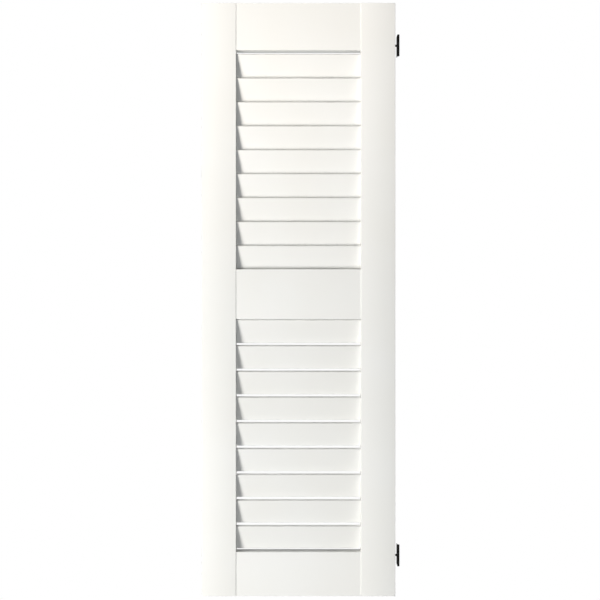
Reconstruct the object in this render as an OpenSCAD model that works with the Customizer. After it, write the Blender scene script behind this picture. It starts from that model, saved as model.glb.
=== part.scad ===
// Louvred shutter: one hinged leaf with a stile-and-rail frame, two banks of
// fixed slats housed in the stiles, dowelled joints and a pair of butt hinges.
//
// Axes: X across the leaf, Y from the face to the back, Z up.
// Origin: centre of the upper hinge's frame-side screw holes, on the face of
// that plate which lies against the jamb.
//
// Every module is drawn from the leaf's own corner (left edge, face, foot)
// and then moved to the origin by from_corner().

/* [Leaf] */
// Overall width of the leaf
leaf_w = 457; // [380:1:600]
// Overall height of the leaf
leaf_h = 1400; // [1160:1:1700]
// Thickness of the stiles
stile_t = 38; // [31:0.5:46]
// Width of each stile
stile_w = 81; // [66:1:100]
// Height of the top rail
top_rail_h = 111; // [80:1:140]
// Height of the middle rail
mid_rail_h = 117; // [80:1:150]
// Height of the bottom rail
bottom_rail_h = 104; // [80:1:150]
// Height of the lower bank of slats, between the bottom and middle rails
lower_bank_h = 550.5; // [450:0.5:680]
// How far the rails lie back from the stiles on each side
rail_setback = 1.5; // [0:0.1:3]
// Radius of the eased edges on stiles and rails
edge_r = 0.8; // [0.4:0.1:3]

/* [Slats] */
// Number of slats in each bank
slats = 9; // [8:1:10]
// Width of a slat
slat_w = 57.4; // [47:0.1:60]
// Thickness of a slat
slat_t = 11; // [7:0.1:12]
// Lean of a slat, with its top towards the face
slat_tilt = 16; // [12:0.5:19]
// Radius of a slat's long edges
slat_edge_r = 2.5; // [0.5:0.1:3.4]
// Depth that a slat's end is housed in each stile
housing_d = 8; // [5:0.5:14]
// Space between the top rail and the first slat's front edge
upper_first_gap = 8.9; // [5:0.1:14]
// Space between the last upper slat's front edge and the middle rail
upper_last_gap = 0.1; // [0.1:0.1:8]
// Space between the middle rail and the first lower slat's front edge
lower_first_gap = 3.4; // [3.2:0.1:12]
// Space between the last lower slat's front edge and the bottom rail
lower_last_gap = 4.2; // [0.1:0.1:10]

/* [Dowels] */
// Diameter of the joint dowels
dowel_d = 10; // [6:0.5:14]
// Depth of a dowel in each of the two pieces that it joins
dowel_depth = 30; // [20:1:35]
// Distance of each dowel from the rail's upper or lower edge
dowel_inset = 28; // [20:1:35]

/* [Hinges] */
// Height of a hinge's plates and knuckles
hinge_h = 48; // [42:0.5:76]
// Outer diameter of the hinge knuckles
barrel_d = 5.4; // [4.8:0.1:7]
// Diameter of the hinge pin
pin_d = 3.2; // [2.4:0.1:3.4]
// Diameter of the pin's rounded heads
pin_head_d = 5.8; // [5.6:0.1:7]
// Height of each pin head
pin_head_h = 1.4; // [1:0.1:2.5]
// Thickness of the hinge plates
plate_t = 1.6; // [1.2:0.1:1.8]
// Depth of the hinge plates, measured back from the face
plate_d = 21; // [18:0.5:26]
// Height of the middle knuckle
mid_knuckle_h = 9; // [6:0.5:20]
// Height of the arm that joins the middle knuckle to the leaf-side plate
arm_h = 5; // [3:0.5:6]
// Clear space between the leaf's edge and the barrel
barrel_gap = 4.15; // [3:0.05:8]
// Space between the barrel and the plane of the leaf's face
barrel_proud = 0.3; // [0.2:0.05:2]
// Depth behind the face at which the frame-side plate starts to bear on the jamb
seat_y = 0.2; // [0.1:0.05:0.6]
// Relief of that plate's web in front of its seat, off the jamb
seat_relief = 0.4; // [0.2:0.05:0.6]
// Distance of the upper hinge's centre below the leaf's top
upper_hinge_drop = 101; // [60:1:200]
// Height of the lower hinge's centre above the leaf's foot
lower_hinge_rise = 97; // [60:1:200]

/* [Screws] */
// Diameter of the screw holes in the hinge plates
hole_d = 4; // [3.5:0.1:4.5]
// Distance between a plate's two screw holes
hole_spacing = 30; // [24:0.5:36]
// Distance of the screw holes behind the face
hole_y = 11; // [10:0.5:13]
// Depth of the countersinks
sink_d = 0.9; // [0.5:0.1:1]
// Length of the screws
screw_l = 20; // [12:1:25]
// Diameter of the screw shanks
shank_d = 3.5; // [3:0.1:3.5]

/* [Clearances] */
// Space round a slat in its housing
housing_clear = 0.15; // [0.05:0.05:0.4]
// Space at the end of a slat or dowel in its blind hole
end_clear = 0.3; // [0.1:0.1:1]
// Space round a dowel or a screw shank in its hole
hole_clear = 0.05; // [0.02:0.01:0.2]
// Space round the pin in the knuckles
pin_clear = 0.05; // [0.02:0.01:0.1]
// Space between neighbouring knuckles, and under the pin heads
knuckle_clear = 0.2; // [0.1:0.05:0.5]
// Space round a hinge plate in its recess
recess_clear = 0.1; // [0.05:0.05:0.5]

/* [Hidden] */
$fn = 48;

// Leaf
opening_w = leaf_w - 2 * stile_w;
rail_t = stile_t - 2 * rail_setback;
mid_rail_z = bottom_rail_h + lower_bank_h;
top_rail_z = leaf_h - top_rail_h;
upper_bank_h = top_rail_z - mid_rail_z - mid_rail_h;

// Slats
slat_l = opening_w + 2 * housing_d - 2 * end_clear;
slat_face_h = slat_w * cos(slat_tilt);
slat_lift = slat_t * sin(slat_tilt) / 2;
upper_pitch = (upper_bank_h - upper_first_gap - upper_last_gap - slat_face_h) / (slats - 1);
lower_pitch = (lower_bank_h - lower_first_gap - lower_last_gap - slat_face_h) / (slats - 1);

// Hinges, from the leaf's corner
axis_x = leaf_w + barrel_gap + barrel_d / 2;
axis_y = -barrel_proud - barrel_d / 2;
jamb_x = leaf_w + barrel_gap + plate_t;
arm_y = edge_r;
notch_y = arm_y + 2 * plate_t + 1;
web_t = plate_t - seat_relief;
upper_hinge_z = leaf_h - upper_hinge_drop;
lower_hinge_z = lower_hinge_rise;
side_knuckle_h = (hinge_h - mid_knuckle_h) / 2 - knuckle_clear;

WHITE = "#f3f1ea";
BLACK = "#1b1b1d";
BEECH = "#d9b88c";

UPPER_SLATS = [for (i = [1 : slats]) str("upper_slat_", i)];
LOWER_SLATS = [for (i = [1 : slats]) str("lower_slat_", i)];

// Height of a slat's centre, counted down from the top of its bank
function slat_z(bank_top, first_gap, pitch, i) =
    bank_top - first_gap - (i - 1) * pitch - slat_face_h / 2 + slat_lift;
function upper_slat_z(i) = slat_z(top_rail_z, upper_first_gap, upper_pitch, i);
function lower_slat_z(i) = slat_z(mid_rail_z, lower_first_gap, lower_pitch, i);

// Heights of the two dowels in a rail
function dowel_heights(rail_z, rail_h) = [rail_z + dowel_inset, rail_z + rail_h - dowel_inset];

// Moves a piece from the leaf's corner to the origin
module from_corner() {
    translate([-jamb_x, -hole_y, -upper_hinge_z]) children();
}

// Stands a flat outline up in the YZ plane and draws it out along X
module along_x(length) {
    rotate([90, 0, 90]) linear_extrude(length) children();
}

// Rectangle with eased corners, from the origin
module eased_rect(size, r) {
    translate([r, 0]) square([size[0] - 2 * r, size[1]]);
    translate([0, r]) square([size[0], size[1] - 2 * r]);
    for (x = [r, size[0] - r], y = [r, size[1] - r]) translate([x, y]) circle(r);
}

// Cross-section of a slat about its centre, larger by grow on every side
module slat_outline(grow = 0) {
    size = [slat_t + 2 * grow, slat_w + 2 * grow];
    rotate(slat_tilt) translate(-size / 2) eased_rect(size, slat_edge_r + grow);
}

// Blind housings for both banks of slats, cut from x along X
module housings(x) {
    for (i = [1 : slats], z = [upper_slat_z(i), lower_slat_z(i)])
        translate([x, stile_t / 2, z]) along_x(housing_d) slat_outline(housing_clear);
}

// Row of horizontal dowel holes or dowels, from x along X
module dowel_row(x, length, d, heights) {
    for (z = heights)
        translate([x, stile_t / 2, z]) rotate([0, 90, 0]) cylinder(d = d, h = length);
}

// Holes at both ends of every rail, as one row per rail that spans the leaf's opening
module dowel_holes(x) {
    heights = concat(
        dowel_heights(0, bottom_rail_h),
        dowel_heights(mid_rail_z, mid_rail_h),
        dowel_heights(top_rail_z, top_rail_h)
    );
    dowel_row(x, dowel_depth, dowel_d + 2 * hole_clear, heights);
}

module stile_blank() {
    linear_extrude(leaf_h) eased_rect([stile_w, stile_t], edge_r);
}

module left_stile() {
    color(WHITE) from_corner() difference() {
        stile_blank();
        housings(stile_w - housing_d);
        dowel_holes(stile_w - dowel_depth);
    }
}

module right_stile() {
    color(WHITE) from_corner() difference() {
        translate([leaf_w - stile_w, 0, 0]) stile_blank();
        housings(leaf_w - stile_w);
        dowel_holes(leaf_w - stile_w);
        for (z = [upper_hinge_z, lower_hinge_z]) translate([0, 0, z]) {
            hinge_recess();
            screw_holes();
        }
    }
}

module rail(z, h) {
    color(WHITE) from_corner() difference() {
        translate([stile_w, rail_setback, z]) along_x(opening_w) eased_rect([rail_t, h], edge_r);
        for (x = [stile_w, leaf_w - stile_w - dowel_depth])
            dowel_row(x, dowel_depth, dowel_d + 2 * hole_clear, dowel_heights(z, h));
    }
}

module top_rail() {
    rail(top_rail_z, top_rail_h);
}

module mid_rail() {
    rail(mid_rail_z, mid_rail_h);
}

module bottom_rail() {
    rail(0, bottom_rail_h);
}

module slat(z) {
    color(WHITE) from_corner()
        translate([stile_w - housing_d + end_clear, stile_t / 2, z]) along_x(slat_l) slat_outline();
}

// Four dowels that pin one rail to both stiles
module rail_dowels(z, h) {
    color(BEECH) from_corner()
        for (x = [stile_w, leaf_w - stile_w])
            dowel_row(x - dowel_depth + end_clear, 2 * (dowel_depth - end_clear), dowel_d, dowel_heights(z, h));
}

// Everything below is drawn about a hinge's centre height

module at_hinge(z) {
    color(BLACK) from_corner() translate([0, 0, z]) children();
}

// Upright cylinder on the hinge axis, from height z
module on_axis(d, h, z) {
    translate([axis_x, axis_y, z]) cylinder(d = d, h = h);
}

// The two screw positions of a plate, at x on the leaf's edge side
module screw_places(x) {
    for (s = [-1, 1]) translate([x, hole_y, s * hole_spacing / 2]) rotate([0, 90, 0]) children();
}

// Countersunk hole through a plate, with its sink opening towards -X
module sunk_hole_left() {
    translate([0, 0, -1]) cylinder(d = hole_d, h = plate_t + 2);
    translate([0, 0, -0.01]) cylinder(d1 = hole_d + 2 * sink_d + 0.02, d2 = hole_d, h = sink_d + 0.01);
}

// Countersunk hole through a plate, with its sink opening towards +X
module sunk_hole_right() {
    translate([0, 0, plate_t]) mirror([0, 0, 1]) sunk_hole_left();
}

module pin_bore() {
    on_axis(pin_d + 2 * pin_clear, hinge_h + 2, -hinge_h / 2 - 1);
}

// Recess in the stile's edge that takes the leaf-side plate
module hinge_recess() {
    translate([leaf_w - plate_t - recess_clear, arm_y - recess_clear, -hinge_h / 2 - recess_clear])
        cube([plate_t + recess_clear + 1, plate_d - arm_y + 2 * recess_clear, hinge_h + 2 * recess_clear]);
}

// Pilot holes in the stile for the hinge screws
module screw_holes() {
    screw_places(leaf_w - screw_l - end_clear) cylinder(d = shank_d + 2 * hole_clear, h = screw_l);
}

// Leaf-side half: a flush plate, a cranked arm across the gap and the middle knuckle
module hinge_leaf_plate(z) {
    at_hinge(z) difference() {
        union() {
            translate([leaf_w - plate_t, arm_y, -hinge_h / 2])
                cube([plate_t, plate_d - arm_y, hinge_h]);
            translate([leaf_w - plate_t, arm_y, -arm_h / 2])
                cube([barrel_gap + plate_t + web_t, plate_t, arm_h]);
            translate([leaf_w + barrel_gap, axis_y, -arm_h / 2])
                cube([web_t, arm_y + plate_t - axis_y, arm_h]);
            on_axis(barrel_d, mid_knuckle_h, -mid_knuckle_h / 2);
        }
        pin_bore();
        screw_places(leaf_w - plate_t) sunk_hole_right();
    }
}

// Frame-side half: a plate against the jamb, notched for the arm, with the outer knuckles
module hinge_frame_plate(z) {
    notch_h = mid_knuckle_h + 2 * knuckle_clear;
    at_hinge(z) difference() {
        union() {
            translate([leaf_w + barrel_gap, axis_y, -hinge_h / 2])
                cube([web_t, seat_y - axis_y, hinge_h]);
            translate([leaf_w + barrel_gap, seat_y, -hinge_h / 2])
                cube([plate_t, plate_d - seat_y, hinge_h]);
            on_axis(barrel_d, hinge_h, -hinge_h / 2);
        }
        translate([leaf_w, axis_y - barrel_d, -notch_h / 2])
            cube([2 * barrel_d + barrel_gap, notch_y - axis_y + barrel_d, notch_h]);
        pin_bore();
        screw_places(leaf_w + barrel_gap) sunk_hole_left();
    }
}

// Pin with a low domed head at each end
module hinge_pin(z) {
    head_z = hinge_h / 2 + knuckle_clear;
    at_hinge(z) {
        on_axis(pin_d, 2 * head_z, -head_z);
        for (s = [0, 1]) mirror([0, 0, s]) translate([axis_x, axis_y, head_z]) pin_head();
    }
}

// Disc with a rounded upper edge
module pin_head() {
    r = pin_head_d / 2;
    round_r = pin_head_h * 0.7;
    rotate_extrude() {
        square([r - round_r, pin_head_h]);
        square([r, pin_head_h - round_r]);
        translate([r - round_r, pin_head_h - round_r]) intersection() {
            circle(round_r);
            square(round_r);
        }
    }
}

// Pair of countersunk wood screws through the leaf-side plate
module hinge_screws(z) {
    head_d = hole_d + 2 * sink_d;
    at_hinge(z) screw_places(leaf_w) {
        translate([0, 0, -screw_l]) cylinder(d = shank_d, h = screw_l - hole_clear);
        translate([0, 0, -sink_d - hole_clear])
            cylinder(d1 = hole_d - 4 * hole_clear, d2 = head_d - 4 * hole_clear, h = sink_d);
    }
}

left_stile();
right_stile();
top_rail();
mid_rail();
bottom_rail();
for (i = [1 : slats]) slat(upper_slat_z(i));
for (i = [1 : slats]) slat(lower_slat_z(i));
rail_dowels(top_rail_z, top_rail_h);  // top_rail_dowels
rail_dowels(mid_rail_z, mid_rail_h);  // mid_rail_dowels
rail_dowels(0, bottom_rail_h);  // bottom_rail_dowels
hinge_leaf_plate(upper_hinge_z);  // upper_hinge_leaf_plate
hinge_frame_plate(upper_hinge_z);  // upper_hinge_frame_plate
hinge_pin(upper_hinge_z);  // upper_hinge_pin
hinge_screws(upper_hinge_z);  // upper_hinge_screws
hinge_leaf_plate(lower_hinge_z);  // lower_hinge_leaf_plate
hinge_frame_plate(lower_hinge_z);  // lower_hinge_frame_plate
hinge_pin(lower_hinge_z);  // lower_hinge_pin
hinge_screws(lower_hinge_z);  // lower_hinge_screws
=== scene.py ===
"""Louvred shutter leaf: fine modelling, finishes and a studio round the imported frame.

All sizes are in metres in the frame's own axes: X across the leaf towards the jamb,
Y from the face to the back, Z up. The board and slat places come from the frame's boxes.
"""

import math

import bpy
from bpy.props import FloatProperty, FloatVectorProperty, IntProperty, PointerProperty
from mathutils import Euler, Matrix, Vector


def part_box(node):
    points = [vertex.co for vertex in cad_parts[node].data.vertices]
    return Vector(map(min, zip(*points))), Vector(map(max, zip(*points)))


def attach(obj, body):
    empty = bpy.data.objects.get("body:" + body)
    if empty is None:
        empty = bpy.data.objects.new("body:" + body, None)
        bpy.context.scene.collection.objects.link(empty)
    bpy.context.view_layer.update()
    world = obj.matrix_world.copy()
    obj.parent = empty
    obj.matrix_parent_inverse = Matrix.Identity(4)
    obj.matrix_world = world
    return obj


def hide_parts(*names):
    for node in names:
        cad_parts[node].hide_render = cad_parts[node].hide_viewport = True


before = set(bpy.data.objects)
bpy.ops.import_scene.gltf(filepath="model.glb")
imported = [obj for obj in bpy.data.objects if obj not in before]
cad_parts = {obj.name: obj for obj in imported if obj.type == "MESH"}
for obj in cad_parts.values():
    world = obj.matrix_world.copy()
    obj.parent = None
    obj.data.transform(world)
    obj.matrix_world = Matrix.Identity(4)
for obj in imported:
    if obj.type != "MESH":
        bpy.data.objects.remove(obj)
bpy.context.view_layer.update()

bl_info = {
    "name": "Louvred shutter",
    "version": (1, 0, 0),
    "blender": (4, 5, 0),
    "location": "3D View > Sidebar > Shutter",
    "description": "Models and finishes a louvred shutter leaf with its hinges",
    "category": "Add Mesh",
}

MM = 0.001
LEAF = "leaf"
JAMB_SIDE = "jamb_side"
STILES = ("left_stile", "right_stile")
RAILS = ("top_rail", "mid_rail", "bottom_rail")
BANKS = ("upper", "lower")
SLATS_IN_BANK = 9
SLATS = [f"{bank}_slat_{i}" for bank in BANKS for i in range(1, SLATS_IN_BANK + 1)]
DOWELS = [rail + "_dowels" for rail in RAILS]
HINGES = ("upper_hinge", "lower_hinge")
LEFT_LOW, LEFT_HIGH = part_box("left_stile")
RIGHT_LOW, RIGHT_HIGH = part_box("right_stile")
LEAF_LOW = Vector(LEFT_LOW)
LEAF_HIGH = Vector(RIGHT_HIGH)
LEAF_CENTRE = (LEAF_LOW + LEAF_HIGH) / 2
# The turn that lays an upright cylinder along X
ALONG_X = Euler((0, math.radians(90), 0))
# Space left round and beyond what goes into a hole in the wood
HOLE_CLEARANCE = 0.05 * MM
HOLE_END_SPACE = 0.3 * MM


# ---------------------------------------------------------------- settings


class WoodSettings(bpy.types.PropertyGroup):
    """Edges and fits of the boards and slats."""

    board_edge: FloatProperty(
        name="Board edge", description="Radius of the eased edges of stiles and rails",
        default=0.8 * MM, min=0.2 * MM, max=3 * MM, unit="LENGTH",
    )
    slat_edge: FloatProperty(
        name="Slat edge", description="Radius of a slat's long edges",
        default=2.5 * MM, min=0.5 * MM, max=4 * MM, unit="LENGTH",
    )
    slat_thickness: FloatProperty(
        name="Slat thickness", description="Thickness of a slat",
        default=11 * MM, min=4 * MM, max=14 * MM, unit="LENGTH",
    )
    slat_width: FloatProperty(
        name="Slat width", description="Width of a slat from edge to edge",
        default=57.4 * MM, min=30 * MM, max=90 * MM, unit="LENGTH",
    )
    slat_lean: FloatProperty(
        name="Slat lean", description="Lean of the slats, tops towards the face",
        default=math.radians(16), min=0, max=math.radians(60), subtype="ANGLE",
    )
    housing_clearance: FloatProperty(
        name="Housing clearance", description="Space round a slat in its housing",
        default=0.15 * MM, min=0.05 * MM, max=1 * MM, unit="LENGTH",
    )
    flute_count: IntProperty(
        name="Dowel flutes", description="Number of glue flutes round a dowel",
        default=18, min=8, max=36,
    )
    flute_depth: FloatProperty(
        name="Flute depth", description="Depth of a dowel's glue flutes",
        default=0.35 * MM, min=0.1 * MM, max=1 * MM, unit="LENGTH",
    )


class HingeSettings(bpy.types.PropertyGroup):
    """Edges and screws of the hinges."""

    plate_edge: FloatProperty(
        name="Plate edge", description="Width of the broken edges on the hinge plates",
        default=0.2 * MM, min=0.05 * MM, max=0.5 * MM, unit="LENGTH",
    )
    arm_setback: FloatProperty(
        name="Arm setback", description="Distance of the leaf-side plate behind the face",
        default=0.8 * MM, min=0.4 * MM, max=5 * MM, unit="LENGTH",
    )
    shank_radius: FloatProperty(
        name="Shank radius", description="Radius of the screws over their thread",
        default=1.75 * MM, min=1 * MM, max=2.5 * MM, unit="LENGTH",
    )
    thread_pitch: FloatProperty(
        name="Thread pitch", description="Rise of the screws' thread in one turn",
        default=1.6 * MM, min=0.8 * MM, max=3 * MM, unit="LENGTH",
    )
    thread_depth: FloatProperty(
        name="Thread depth", description="Depth of the screws' thread",
        default=0.45 * MM, min=0.2 * MM, max=0.8 * MM, unit="LENGTH",
    )


class FinishSettings(bpy.types.PropertyGroup):
    """Colours, as linear values worked out from sRGB."""

    paint: FloatVectorProperty(
        name="Paint", description="Colour of the satin paint", subtype="COLOR",
        default=(0.868, 0.874, 0.862), min=0, max=1,
    )
    # Painted shade on the slats: their paint is set darker than the frame's to offset the low lamps, which
    # light the leaning slats more than the boards
    slat_painted_shade: FloatProperty(
        name="Slat tone", description="Brightness of the slats' paint as a share of the frame's",
        default=0.955, min=0.5, max=1,
    )
    steel_coat: FloatVectorProperty(
        name="Hinge coat", description="Colour of the hinges' powder coat", subtype="COLOR",
        default=(0.0015, 0.0015, 0.0017), min=0, max=1,
    )
    dowel_wood: FloatVectorProperty(
        name="Dowel wood", description="Colour of the bare beech dowels", subtype="COLOR",
        default=(0.6, 0.4, 0.24), min=0, max=1,
    )


class StageSettings(bpy.types.PropertyGroup):
    """Camera, lights and floor."""

    camera_distance: FloatProperty(
        name="Camera distance", description="Distance of the camera from the leaf's face",
        default=3.0, min=1, max=20, unit="LENGTH",
    )
    frame_height: FloatProperty(
        name="Frame height", description="Height that the picture takes in at the leaf's face",
        default=1.4156, min=0.5, max=5, unit="LENGTH",
    )
    aim_right: FloatProperty(
        name="Aim right", description="Distance of the camera's axis to the right of the leaf's centre",
        default=3.6 * MM, unit="LENGTH",
    )
    aim_up: FloatProperty(
        name="Aim up", description="Height of the camera's axis above the leaf's centre",
        default=-1.1 * MM, unit="LENGTH",
    )
    key_power: FloatProperty(
        name="Key light", description="Power of the tall light low at the left", default=134, min=0,
    )
    fill_power: FloatProperty(
        name="Fill light", description="Power of the broad light low behind the camera", default=60, min=0,
    )
    back_power: FloatProperty(
        name="Back lights", description="Power of each of the two broad lights behind the leaf",
        default=30, min=0,
    )
    above_power: FloatProperty(
        name="Light above", description="Power of the light straight above the leaf", default=14, min=0,
    )
    glow_power: FloatProperty(
        name="Top light", description="Power of the warm light on the upper part", default=140, min=0,
    )
    surround: FloatProperty(
        name="Surround", description="Brightness of the light from all round", default=0.08, min=0,
    )
    floor_drop: FloatProperty(
        name="Floor drop", description="Distance of the floor below the leaf's foot",
        default=0.5, min=0, max=3, unit="LENGTH",
    )
    floor_radius: FloatProperty(
        name="Floor radius", description="Radius of the floor",
        default=1.7, min=0.5, max=10, unit="LENGTH",
    )


# ---------------------------------------------------------------- helpers


def linear(hex_colour):
    """An sRGB hex colour as linear red, green, blue and alpha."""
    values = [int(hex_colour[i : i + 2], 16) / 255 for i in (1, 3, 5)]
    return tuple(v / 12.92 if v <= 0.04045 else ((v + 0.055) / 1.055) ** 2.4 for v in values) + (1.0,)


def per_metre(size_mm):
    """Scale of a pattern whose features are size_mm across."""
    return 1000 / size_mm


def only(obj):
    """Selects obj alone and makes it active, in object mode."""
    if bpy.context.mode != "OBJECT":
        bpy.ops.object.mode_set(mode="OBJECT")
    bpy.ops.object.select_all(action="DESELECT")
    obj.select_set(True)
    bpy.context.view_layer.objects.active = obj
    return obj


def apply_place(obj):
    """Puts obj at the origin, with its place in its mesh."""
    only(obj)
    bpy.ops.object.transform_apply(location=True, rotation=True, scale=True)
    return obj


def box_piece(name, low, high):
    """A box between two corners, as a mesh to be shaped."""
    bpy.ops.object.select_all(action="DESELECT")
    bpy.ops.mesh.primitive_cube_add(size=1, location=(Vector(low) + Vector(high)) / 2)
    obj = bpy.context.object
    obj.name = obj.data.name = name
    obj.scale = Vector(high) - Vector(low)
    return apply_place(obj)


def rod_piece(name, start, length, radius, sides, axis_turn):
    """A cylinder from start along X, Y or Z, by the turn that lays it down."""
    direction = axis_turn.to_matrix() @ Vector((0, 0, 1))
    bpy.ops.object.select_all(action="DESELECT")
    bpy.ops.mesh.primitive_cylinder_add(
        vertices=sides, radius=radius, depth=length,
        location=Vector(start) + direction * length / 2, rotation=axis_turn,
    )
    obj = bpy.context.object
    obj.name = obj.data.name = name
    return apply_place(obj)


def select_edges(obj, test):
    """Selects the edges whose two ends pass test, and enters edit mode on them."""
    only(obj)
    bpy.ops.object.mode_set(mode="EDIT")
    bpy.ops.mesh.select_mode(type="EDGE")
    bpy.ops.mesh.select_all(action="DESELECT")
    bpy.ops.object.mode_set(mode="OBJECT")
    points = obj.data.vertices
    for edge in obj.data.edges:
        a, b = (points[i].co for i in edge.vertices)
        edge.select = test(a, b)
    bpy.ops.object.mode_set(mode="EDIT")


def bevel_edges(obj, radius, segments, test):
    """Rounds the edges of obj that pass test."""
    select_edges(obj, test)
    bpy.ops.mesh.bevel(offset=radius, segments=segments, profile=0.5, clamp_overlap=True)
    bpy.ops.object.mode_set(mode="OBJECT")
    return obj


def copy_piece(obj, name):
    """A copy of obj with a mesh of its own."""
    new = bpy.data.objects.new(name, obj.data.copy())
    new.data.name = name
    bpy.context.collection.objects.link(new)
    return new


def shift(obj, offset):
    """Moves obj's mesh by offset."""
    obj.location = offset
    return apply_place(obj)


def join(objects, name):
    """Several objects made one."""
    only(objects[0])
    for obj in objects:
        obj.select_set(True)
    bpy.ops.object.join()
    joined = bpy.context.object
    joined.name = joined.data.name = name
    return joined


def cut(obj, cutter):
    """Takes cutter out of obj, and deletes it."""
    only(obj)
    modifier = obj.modifiers.new("cut", "BOOLEAN")
    modifier.operation = "DIFFERENCE"
    modifier.solver = "EXACT"
    modifier.object = cutter
    bpy.ops.object.modifier_apply(modifier=modifier.name)
    bpy.data.objects.remove(cutter, do_unlink=True)
    return obj


def merged_node(node, name):
    """A copy of a CAD node with its loose triangles merged into clean faces."""
    obj = copy_piece(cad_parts[node], name)
    only(obj)
    bpy.ops.object.mode_set(mode="EDIT")
    bpy.ops.mesh.select_all(action="SELECT")
    bpy.ops.mesh.remove_doubles(threshold=0.002 * MM)
    bpy.ops.mesh.dissolve_limited(angle_limit=math.radians(0.5))
    bpy.ops.object.mode_set(mode="OBJECT")
    return obj


def smooth(obj, degrees=30):
    """Shades obj smooth across edges flatter than the angle."""
    only(obj)
    bpy.ops.object.shade_smooth_by_angle(angle=math.radians(degrees))
    return obj


def seat(obj, node, body, material):
    """Finishes a piece: what it stands for, what it moves with and what it is finished in."""
    obj.data.materials.clear()
    obj.data.materials.append(material)
    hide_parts(node)
    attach(obj, body)
    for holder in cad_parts[node].material_slots:
        holder.material = material
    return obj


# ---------------------------------------------------------------- materials


def add_node(material, kind, settings=(), links=()):
    """Adds a node. settings are socket or property values, links are (input, source node, output)."""
    node = material.node_tree.nodes.new(kind)
    for key, value in dict(settings).items():
        if key in node.inputs:
            node.inputs[key].default_value = value
        else:
            setattr(node, key, value)
    for key, source, output in links:
        material.node_tree.links.new(source.outputs[output], node.inputs[key])
    return node


def new_material(name):
    """An empty node material with its output node."""
    material = bpy.data.materials.get(name) or bpy.data.materials.new(name)
    material.use_nodes = True
    material.node_tree.nodes.clear()
    return material, add_node(material, "ShaderNodeOutputMaterial")


def satin_paint(name, along, painted_shade_share=1.0):
    """Satin acrylic paint, sprayed in two coats on a primed softwood board.

    It looks like a warm white skin with a low, even sheen. A fine orange peel and the faintest
    trace of the grain, along X or Z, break up the highlight.
    """
    material, output = new_material(name)
    settings = bpy.context.scene.shutter_finish
    place = add_node(material, "ShaderNodeTexCoord")
    # Grain ridges about 3 mm apart and 160 mm long
    across, length = per_metre(3.0), per_metre(160.0)
    stretch = (length, across, across) if along == "X" else (across, across, length)
    run = add_node(material, "ShaderNodeMapping", {"Scale": stretch}, [("Vector", place, "Object")])
    grain = add_node(
        material, "ShaderNodeTexNoise", {"Scale": 1.0, "Detail": 3.0, "Roughness": 0.5},
        [("Vector", run, "Vector")],
    )
    # Orange peel of the spray, about 1.6 mm from crest to crest
    peel = add_node(
        material, "ShaderNodeTexNoise", {"Scale": per_metre(1.6), "Detail": 2.0, "Roughness": 0.45},
        [("Vector", place, "Object")],
    )
    # Slow drift in the coat's thickness, over about 180 mm
    drift = add_node(
        material, "ShaderNodeTexNoise", {"Scale": per_metre(180.0), "Detail": 2.0},
        [("Vector", place, "Object")],
    )
    # A share below one is painted shade: it darkens the whole colour, as on the slats' copy of the paint, to
    # offset the low lamps that light them more than the boards
    base = tuple(painted_shade_share * value for value in settings.paint)
    tint = add_node(material, "ShaderNodeValToRGB", {}, [("Fac", drift, "Fac")])
    tint.color_ramp.elements[0].position = 0.3
    tint.color_ramp.elements[0].color = (base[0] * 0.985, base[1] * 0.98, base[2] * 0.968, 1)
    tint.color_ramp.elements[1].position = 0.7
    tint.color_ramp.elements[1].color = (base[0], base[1], base[2], 1)
    sheen = add_node(
        material, "ShaderNodeMapRange", {"To Min": 0.38, "To Max": 0.48}, [("Value", grain, "Fac")]
    )
    grain_bump = add_node(
        material, "ShaderNodeBump", {"Strength": 0.25, "Distance": 0.05 * MM}, [("Height", grain, "Fac")]
    )
    peel_bump = add_node(
        material, "ShaderNodeBump", {"Strength": 0.3, "Distance": 0.03 * MM},
        [("Height", peel, "Fac"), ("Normal", grain_bump, "Normal")],
    )
    shader = add_node(
        material, "ShaderNodeBsdfPrincipled", {"IOR": 1.47},
        [("Base Color", tint, "Color"), ("Roughness", sheen, "Result"), ("Normal", peel_bump, "Normal")],
    )
    material.node_tree.links.new(shader.outputs["BSDF"], output.inputs["Surface"])
    return material


def powder_coat():
    """Black polyester powder coat, baked on steel plate.

    It looks near black with a soft sheen, over a fine pebbled skin.
    """
    material, output = new_material("black_powder_coat")
    settings = bpy.context.scene.shutter_finish
    place = add_node(material, "ShaderNodeTexCoord")
    # Pebbles of about 0.35 mm, as the powder melts
    pebble = add_node(
        material, "ShaderNodeTexNoise", {"Scale": per_metre(0.35), "Detail": 2.0},
        [("Vector", place, "Object")],
    )
    # Patches about 6 mm across, where the coat ran glossier
    patch = add_node(
        material, "ShaderNodeTexNoise", {"Scale": per_metre(6.0), "Detail": 2.0},
        [("Vector", place, "Object")],
    )
    sheen = add_node(
        material, "ShaderNodeMapRange", {"To Min": 0.42, "To Max": 0.56}, [("Value", patch, "Fac")]
    )
    bump = add_node(
        material, "ShaderNodeBump", {"Strength": 0.35, "Distance": 0.02 * MM}, [("Height", pebble, "Fac")]
    )
    shader = add_node(
        material, "ShaderNodeBsdfPrincipled",
        {"Base Color": (*settings.steel_coat, 1), "IOR": 1.5, "Specular IOR Level": 0.15},
        [("Roughness", sheen, "Result"), ("Normal", bump, "Normal")],
    )
    material.node_tree.links.new(shader.outputs["BSDF"], output.inputs["Surface"])
    return material


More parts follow.
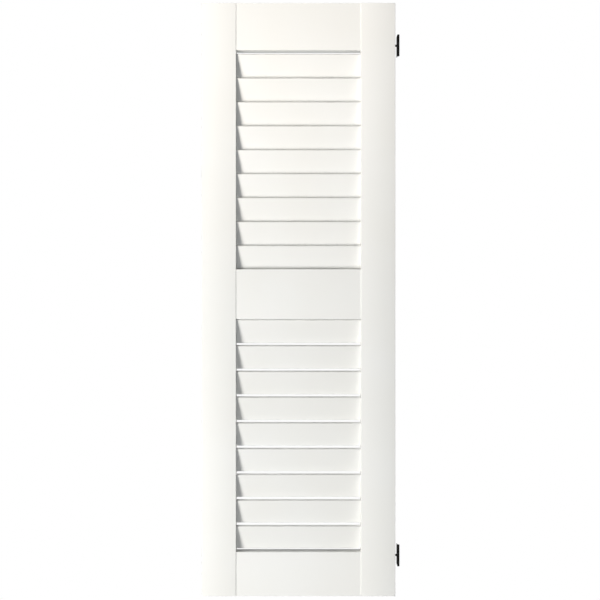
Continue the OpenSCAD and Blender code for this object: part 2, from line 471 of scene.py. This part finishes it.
def beech():
    """Bare beech, turned and fluted into dowels.

    It looks pinkish tan, with short dark flecks along the grain.
    """
    material, output = new_material("bare_beech")
    settings = bpy.context.scene.shutter_finish
    place = add_node(material, "ShaderNodeTexCoord")
    # Flecks about 0.5 mm wide and 4 mm long
    stretch = (per_metre(4.0), per_metre(0.5), per_metre(0.5))
    run = add_node(material, "ShaderNodeMapping", {"Scale": stretch}, [("Vector", place, "Object")])
    fleck = add_node(
        material, "ShaderNodeTexNoise", {"Scale": 1.0, "Detail": 4.0}, [("Vector", run, "Vector")]
    )
    base = tuple(settings.dowel_wood)
    tint = add_node(material, "ShaderNodeValToRGB", {}, [("Fac", fleck, "Fac")])
    tint.color_ramp.elements[0].position = 0.32
    tint.color_ramp.elements[0].color = (base[0] * 0.6, base[1] * 0.52, base[2] * 0.45, 1)
    tint.color_ramp.elements[1].position = 0.5
    tint.color_ramp.elements[1].color = (*base, 1)
    bump = add_node(
        material, "ShaderNodeBump", {"Strength": 0.3, "Distance": 0.05 * MM}, [("Height", fleck, "Fac")]
    )
    shader = add_node(
        material, "ShaderNodeBsdfPrincipled", {"Roughness": 0.62, "IOR": 1.45},
        [("Base Color", tint, "Color"), ("Normal", bump, "Normal")],
    )
    material.node_tree.links.new(shader.outputs["BSDF"], output.inputs["Surface"])
    return material


def studio_floor():
    """Matt pale board under the leaf, with no pattern of its own.

    It looks brighter than the light that it sheds, so that it stays pale under low lights.
    """
    material, output = new_material("studio_floor")
    ray = add_node(material, "ShaderNodeLightPath")
    shader = add_node(
        material, "ShaderNodeBsdfPrincipled",
        {"Base Color": linear("#B8B7B4"), "Roughness": 0.9, "Emission Color": linear("#C8C8C6")},
        [("Emission Strength", ray, "Is Camera Ray")],
    )
    material.node_tree.links.new(shader.outputs["BSDF"], output.inputs["Surface"])
    return material


# ---------------------------------------------------------------- pieces


class SHUTTER_OT_slats(bpy.types.Operator):
    """Model one slat with rounded long edges and copy it to every slat's place"""

    bl_idname = "shutter.slats"
    bl_label = "Slats"

    def execute(self, context):
        settings = context.scene.shutter_wood
        # The slats' paint carries painted shade: it is darker than the frame's to offset the low lamps that
        # light the leaning slats more
        paint = satin_paint("satin_paint_on_slats_painted_shade", "X", context.scene.shutter_finish.slat_painted_shade)
        low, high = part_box(SLATS[0])
        centre = (low + high) / 2
        half = Vector((high.x - low.x, settings.slat_thickness, settings.slat_width)) / 2
        pattern = box_piece("slat_pattern", centre - half, centre + half)
        bevel_edges(pattern, settings.slat_edge, 6, lambda a, b: abs(a.x - b.x) > half.x)
        only(pattern)
        bpy.ops.object.mode_set(mode="EDIT")
        bpy.ops.mesh.select_all(action="SELECT")
        # A turn in edit mode without a window runs the other way, and brings the slat's top to the face
        bpy.ops.transform.rotate(
            value=-settings.slat_lean, orient_axis="X", orient_type="GLOBAL", center_override=centre
        )
        bpy.ops.object.mode_set(mode="OBJECT")
        smooth(pattern)
        for node in SLATS:
            slat = copy_piece(pattern, node + "_painted")
            shift(slat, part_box(node)[0] - low)
            seat(slat, node, LEAF, paint)
        bpy.data.objects.remove(pattern, do_unlink=True)
        return {"FINISHED"}


def dowel_places(node):
    """Centres and length of the four dowels in a node, from its box."""
    low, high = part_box(node)
    radius = (high.y - low.y) / 2
    opening = (LEFT_HIGH.x, RIGHT_LOW.x)
    reach = opening[0] - low.x
    places = [
        Vector((x - reach, (low.y + high.y) / 2, z))
        for x in opening
        for z in (low.z + radius, high.z - radius)
    ]
    return places, 2 * reach, radius


def dowel_hole_cutter(name):
    """All the dowel holes, a little larger than the dowels."""
    rods = []
    for node in DOWELS:
        places, length, radius = dowel_places(node)
        for place in places:
            start = place - Vector((HOLE_END_SPACE, 0, 0))
            depth = length + 2 * HOLE_END_SPACE
            rods.append(rod_piece("hole", start, depth, radius + HOLE_CLEARANCE, 32, ALONG_X))
    return join(rods, name)


class SHUTTER_OT_boards(bpy.types.Operator):
    """Model the stiles and rails with eased edges, slat housings, dowel and pilot holes and hinge recesses"""

    bl_idname = "shutter.boards"
    bl_label = "Stiles and rails"

    def execute(self, context):
        settings = context.scene.shutter_wood
        upright = satin_paint("satin_paint_on_stiles", "Z")
        level = satin_paint("satin_paint_on_rails", "X")
        for node in STILES + RAILS:
            board = box_piece(node + "_painted", *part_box(node))
            bevel_edges(board, settings.board_edge, 4, self.eased(node, board))
            if node in STILES:
                cut(board, self.housing_cutter(settings.housing_clearance))
            cut(board, dowel_hole_cutter("dowel_holes"))
            if node == "right_stile":
                cut(board, self.recess_cutter(context.scene.shutter_hinge))
                cut(board, self.pilot_cutter(context.scene.shutter_hinge))
            smooth(board)
            seat(board, node, LEAF, upright if node in STILES else level)
        return {"FINISHED"}

    @staticmethod
    def eased(node, board):
        """All edges of a stile, and only the long edges of a rail, whose ends butt on the stiles."""
        length = board.dimensions.x
        return lambda a, b: node in STILES or abs(a.x - b.x) > length / 2

    @staticmethod
    def housing_cutter(clearance):
        """The slats together, grown by the clearance."""
        copies = [copy_piece(bpy.data.objects[node + "_painted"], "housing") for node in SLATS]
        cutter = join(copies, "housings")
        bpy.ops.object.mode_set(mode="EDIT")
        bpy.ops.mesh.select_all(action="SELECT")
        bpy.ops.transform.shrink_fatten(value=clearance)
        bpy.ops.object.mode_set(mode="OBJECT")
        return cutter

    @staticmethod
    def recess_cutter(settings):
        """Recesses for both leaf-side plates in the stile's outer edge."""
        space = 0.1 * MM
        boxes = []
        for hinge in HINGES:
            low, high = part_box(hinge + "_leaf_plate")
            start = Vector((low.x - space, RIGHT_LOW.y + settings.arm_setback - space, low.z - space))
            end = Vector((high.x, high.y + space, high.z + space))
            boxes.append(box_piece("recess", start, end))
        return join(boxes, "recesses")

    @staticmethod
    def pilot_cutter(settings):
        """Pilot holes for the four screws, a little wider and deeper than their shanks."""
        rods = []
        for hinge in HINGES:
            for tip, length, _ in screw_places(hinge):
                start = tip - Vector((HOLE_END_SPACE, 0, 0))
                radius = settings.shank_radius + HOLE_CLEARANCE
                rods.append(rod_piece("pilot", start, length + HOLE_END_SPACE, radius, 32, ALONG_X))
        return join(rods, "pilots")


class SHUTTER_OT_dowels(bpy.types.Operator):
    """Model a fluted, chamfered dowel and set four of them in each rail"""

    bl_idname = "shutter.dowels"
    bl_label = "Dowels"

    def execute(self, context):
        settings = context.scene.shutter_wood
        wood = beech()
        places, length, radius = dowel_places(DOWELS[0])
        pattern = rod_piece("dowel", places[0], length, radius, 2 * settings.flute_count, ALONG_X)
        bevel_edges(pattern, 1.0 * MM, 1, lambda a, b: abs(a.x - b.x) < radius / 10)
        self.flute(pattern, places[0], radius, settings)
        smooth(pattern, 20)
        for node in DOWELS:
            dowels = [
                shift(copy_piece(pattern, "dowel"), place - places[0]) for place in dowel_places(node)[0]
            ]
            seat(join(dowels, node + "_fluted"), node, LEAF, wood)
        bpy.data.objects.remove(pattern, do_unlink=True)
        return {"FINISHED"}

    @staticmethod
    def flute(dowel, place, radius, settings):
        """Draws every second long edge towards the axis."""
        turn = math.pi / settings.flute_count

        def in_flute(point):
            return round(math.atan2(point.z - place.z, point.y - place.y) / turn) % 2 == 1

        select_edges(dowel, lambda a, b: in_flute(a) and in_flute(b))
        share = 1 - settings.flute_depth / radius
        bpy.ops.transform.resize(value=(1, share, share), center_override=place)
        bpy.ops.object.mode_set(mode="OBJECT")


class SHUTTER_OT_hinges(bpy.types.Operator):
    """Finish the hinge plates and pins with broken edges and smooth barrels"""

    bl_idname = "shutter.hinges"
    bl_label = "Hinge plates and pins"

    def execute(self, context):
        settings = context.scene.shutter_hinge
        coat = powder_coat()
        for hinge in HINGES:
            for part, body in (("leaf_plate", LEAF), ("frame_plate", JAMB_SIDE), ("pin", JAMB_SIDE)):
                node = f"{hinge}_{part}"
                piece = merged_node(node, node + "_coated")
                self.break_edges(piece, settings.plate_edge)
                smooth(piece)
                seat(piece, node, body, coat)
        return {"FINISHED"}

    @staticmethod
    def break_edges(obj, width):
        """Takes the sharpness off every edge over 40 degrees."""
        only(obj)
        modifier = obj.modifiers.new("break", "BEVEL")
        modifier.width = width
        modifier.segments = 2
        modifier.limit_method = "ANGLE"
        modifier.angle_limit = math.radians(40)
        bpy.ops.object.modifier_apply(modifier=modifier.name)


def screw_places(hinge):
    """The tip, length and head radius of a hinge's two screws, from their node's box."""
    low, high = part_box(hinge + "_screws")
    head_radius = (high.y - low.y) / 2
    middle_y = (low.y + high.y) / 2
    return [
        (Vector((low.x, middle_y, z)), high.x - low.x, head_radius)
        for z in (low.z + head_radius, high.z - head_radius)
    ]


class SHUTTER_OT_screws(bpy.types.Operator):
    """Model a countersunk screw with a cross recess and a thread, and set two in each hinge"""

    bl_idname = "shutter.screws"
    bl_label = "Hinge screws"

    def execute(self, context):
        coat = powder_coat()
        first = screw_places(HINGES[-1])[0]
        pattern = self.screw(context, *first)
        smooth(pattern)
        for hinge in HINGES:
            node = hinge + "_screws"
            screws = [
                shift(copy_piece(pattern, "screw"), tip - first[0])
                for tip, _, _ in screw_places(hinge)
            ]
            seat(join(screws, node + "_coated"), node, LEAF, coat)
        bpy.data.objects.remove(pattern, do_unlink=True)
        return {"FINISHED"}

    def screw(self, context, tip, length, head_radius):
        """One screw from its tip along X, with its head's face at tip + length."""
        settings = context.scene.shutter_hinge
        shank_radius = settings.shank_radius
        head_height = 0.9 * MM
        point_length = 3.0 * MM
        thread_end = length - 4 * head_height
        core = shank_radius - settings.thread_depth
        outline = [
            (0, 0), (point_length, core), (length - head_height, core), (length, head_radius), (length, 0),
        ]
        body = self.turned(tip, outline)
        cut(body, self.cross_cutter(tip + Vector((length, 0, 0)), head_height))
        thread = self.thread(
            tip + Vector((point_length, 0, 0)), thread_end - point_length, core, shank_radius
        )
        return join([body, thread], "screw")

    @staticmethod
    def turned(tip, outline):
        """A solid turned from an outline of (along, radius) points."""
        mesh = bpy.data.meshes.new("turned")
        points = [tip + Vector((along, radius, 0)) for along, radius in outline]
        mesh.from_pydata(points, [(i, i + 1) for i in range(len(points) - 1)], [])
        obj = bpy.data.objects.new("turned", mesh)
        bpy.context.collection.objects.link(obj)
        only(obj)
        bpy.ops.object.mode_set(mode="EDIT")
        bpy.ops.mesh.select_all(action="SELECT")
        bpy.ops.mesh.spin(steps=32, angle=2 * math.pi, center=tip, axis=(1, 0, 0))
        bpy.ops.mesh.select_all(action="SELECT")
        bpy.ops.mesh.remove_doubles(threshold=0.005 * MM)
        bpy.ops.mesh.normals_make_consistent(inside=False)
        bpy.ops.object.mode_set(mode="OBJECT")
        return obj

    @staticmethod
    def cross_cutter(face, depth):
        """Two crossed slots for the cross recess."""
        long, narrow = 1.6 * MM, 0.3 * MM
        sink = 0.75 * depth
        bars = [
            box_piece("slot", face - Vector((sink, y, z)), face + Vector((depth, y, z)))
            for y, z in ((long, narrow), (narrow, long))
        ]
        bpy.ops.object.select_all(action="DESELECT")
        only(bars[0])
        modifier = bars[0].modifiers.new("cross", "BOOLEAN")
        modifier.operation = "UNION"
        modifier.solver = "EXACT"
        modifier.object = bars[1]
        bpy.ops.object.modifier_apply(modifier=modifier.name)
        bpy.data.objects.remove(bars[1], do_unlink=True)
        return bars[0]

    @staticmethod
    def thread(start, length, core, crest):
        """A helical ridge from start along X."""
        pitch = bpy.context.scene.shutter_hinge.thread_pitch
        steps, foot, least_height = 20, 0.3 * MM, 0.1
        root = 0.9 * core
        turns = int(length / pitch)
        ring = ((-foot, root), (0, crest), (foot, root))
        points, faces = [], []
        for i in range(turns * steps + 1):
            angle = 2 * math.pi * i / steps
            taper = max(least_height, min(1.0, i / steps, (turns * steps - i) / steps))
            for along, radius in ring:
                reach = root + (radius - root) * taper
                x = start.x + pitch * i / steps + along
                points.append((x, start.y + reach * math.cos(angle), start.z + reach * math.sin(angle)))
        for i in range(turns * steps):
            a, b = 3 * i, 3 * i + 3
            faces += [(a, a + 1, b + 1, b), (a + 1, a + 2, b + 2, b + 1), (a + 2, a, b, b + 2)]
        last = 3 * turns * steps
        faces += [(0, 2, 1), (last, last + 1, last + 2)]
        mesh = bpy.data.meshes.new("thread")
        mesh.from_pydata(points, [], faces)
        obj = bpy.data.objects.new("thread", mesh)
        bpy.context.collection.objects.link(obj)
        only(obj)
        bpy.ops.object.mode_set(mode="EDIT")
        bpy.ops.mesh.select_all(action="SELECT")
        bpy.ops.mesh.normals_make_consistent(inside=False)
        bpy.ops.object.mode_set(mode="OBJECT")
        return obj


# ---------------------------------------------------------------- stage


class SHUTTER_OT_stage(bpy.types.Operator):
    """Set the pale floor, the soft lights and the camera"""

    bl_idname = "shutter.stage"
    bl_label = "Stage"

    def execute(self, context):
        settings = context.scene.shutter_stage
        self.floor(settings)
        self.surround(context.scene, settings)
        self.lights(settings)
        self.camera(context.scene, settings)
        context.scene.view_settings.view_transform = "Standard"
        return {"FINISHED"}

    @staticmethod
    def floor(settings):
        """A round pale board below the leaf."""
        centre = Vector((LEAF_CENTRE.x, LEAF_CENTRE.y, LEAF_LOW.z - settings.floor_drop))
        bpy.ops.object.select_all(action="DESELECT")
        bpy.ops.mesh.primitive_cylinder_add(
            vertices=96, radius=settings.floor_radius, depth=0.02, location=centre - Vector((0, 0, 0.01))
        )
        board = bpy.context.object
        board.name = "studio_floor"
        board.data.materials.append(studio_floor())

    @staticmethod
    def surround(scene, settings):
        """White paper all round, lit brighter than the light that it sheds on the leaf."""
        world = bpy.data.worlds.new("white_studio")
        scene.world = world
        world.use_nodes = True
        world.node_tree.nodes.clear()
        output = add_node(world, "ShaderNodeOutputWorld")
        shed = add_node(world, "ShaderNodeBackground", {"Color": (1, 1, 1, 1), "Strength": settings.surround})
        seen = add_node(world, "ShaderNodeBackground", {"Color": (1, 1, 1, 1), "Strength": 1.0})
        ray = add_node(world, "ShaderNodeLightPath")
        both = add_node(world, "ShaderNodeMixShader", {}, [("Fac", ray, "Is Camera Ray")])
        world.node_tree.links.new(shed.outputs["Background"], both.inputs[1])
        world.node_tree.links.new(seen.outputs["Background"], both.inputs[2])
        world.node_tree.links.new(both.outputs["Shader"], output.inputs["Surface"])

    @staticmethod
    def area_light(name, place, target, size, power, colour):
        """A rectangular soft light at place, aimed at target."""
        light = bpy.data.lights.new(name, "AREA")
        light.shape = "RECTANGLE"
        light.size, light.size_y = size
        light.energy = power
        light.color = linear(colour)[:3]
        obj = bpy.data.objects.new(name, light)
        bpy.context.collection.objects.link(obj)
        obj.location = place
        obj.rotation_euler = (Vector(target) - Vector(place)).to_track_quat("-Z", "Y").to_euler()
        return obj

    def lights(self, settings):
        """A tall key and a broad fill, both low, two back lights, one above and a warm soft spot."""
        face = Vector((LEAF_CENTRE.x, LEAF_LOW.y, LEAF_CENTRE.z))
        self.area_light(
            "key", face + Vector((-2.35, -2.8, -0.7)), face, (1.25, 1.9), settings.key_power, "#FFFDF9"
        )
        fill = self.area_light(
            "fill", face + Vector((0.3, -5.5, -1.15)), face, (2.4, 1.8), settings.fill_power, "#F6FAFF"
        )
        # The fill gives light without a glare of its own on the leaning slats
        fill.visible_glossy = False
        back = Vector((LEAF_CENTRE.x, LEAF_HIGH.y, LEAF_CENTRE.z))
        for side, name in ((-1, "back_left"), (1, "back_right")):
            self.area_light(
                name, back + Vector((2.2 * side, 2.0, -0.6)), back, (1.4, 1.8), settings.back_power, "#FFFFFF"
            )
        above = Vector((LEAF_CENTRE.x, LEAF_CENTRE.y, LEAF_HIGH.z))
        self.area_light(
            "above", above + Vector((0, 0, 1.6)), above, (0.8, 0.3), settings.above_power, "#FFFFFF"
        )
        place, target = face + Vector((-1.7, -2.2, 0.2)), face + Vector((0, 0, 1.15))
        light = bpy.data.lights.new("warm_top", "SPOT")
        light.energy = settings.glow_power
        light.color = linear("#FFF3E6")[:3]
        light.spot_size = math.radians(48)
        light.spot_blend = 1
        light.shadow_soft_size = 0.4
        lamp = bpy.data.objects.new("warm_top", light)
        bpy.context.collection.objects.link(lamp)
        lamp.location = place
        lamp.rotation_euler = (target - place).to_track_quat("-Z", "Y").to_euler()

    @staticmethod
    def camera(scene, settings):
        """A long lens, level with the leaf's middle and square to its face."""
        sensor = 36.0
        data = bpy.data.cameras.new("camera")
        data.sensor_width = sensor
        data.lens = sensor * settings.camera_distance / settings.frame_height
        data.clip_end = 50
        camera = bpy.data.objects.new("camera", data)
        bpy.context.collection.objects.link(camera)
        aim = Vector((LEAF_CENTRE.x + settings.aim_right, LEAF_LOW.y, LEAF_CENTRE.z + settings.aim_up))
        camera.location = aim - Vector((0, settings.camera_distance, 0))
        camera.rotation_euler = (math.radians(90), 0, 0)
        scene.camera = camera


class SHUTTER_PT_panel(bpy.types.Panel):
    """Shutter tools in the 3D view's sidebar"""

    bl_label = "Louvred shutter"
    bl_idname = "SHUTTER_PT_panel"
    bl_space_type = "VIEW_3D"
    bl_region_type = "UI"
    bl_category = "Shutter"

    def draw(self, context):
        layout = self.layout
        for name in GROUPS:
            group = getattr(context.scene, name)
            column = layout.column(align=True)
            for key in group.__annotations__:
                column.prop(group, key)
        for operator in STEPS:
            layout.operator("shutter." + operator)


# The order matters: the boards' housings are cut from the finished slats
STEPS = ("slats", "boards", "dowels", "hinges", "screws", "stage")
GROUPS = {
    "shutter_wood": WoodSettings,
    "shutter_hinge": HingeSettings,
    "shutter_finish": FinishSettings,
    "shutter_stage": StageSettings,
}
CLASSES = (
    *GROUPS.values(),
    SHUTTER_OT_slats,
    SHUTTER_OT_boards,
    SHUTTER_OT_dowels,
    SHUTTER_OT_hinges,
    SHUTTER_OT_screws,
    SHUTTER_OT_stage,
    SHUTTER_PT_panel,
)


def register():
    """Registers the classes and hangs the settings on the scene."""
    for cls in CLASSES:
        bpy.utils.register_class(cls)
    for name, group in GROUPS.items():
        setattr(bpy.types.Scene, name, PointerProperty(type=group))


def unregister():
    """Undoes register."""
    for name in GROUPS:
        delattr(bpy.types.Scene, name)
    for cls in reversed(CLASSES):
        bpy.utils.unregister_class(cls)


def main():
    """Builds every piece and the stage."""
    register()
    for step in STEPS:
        getattr(bpy.ops.shutter, step)()


if __name__ == "__main__":
    main()
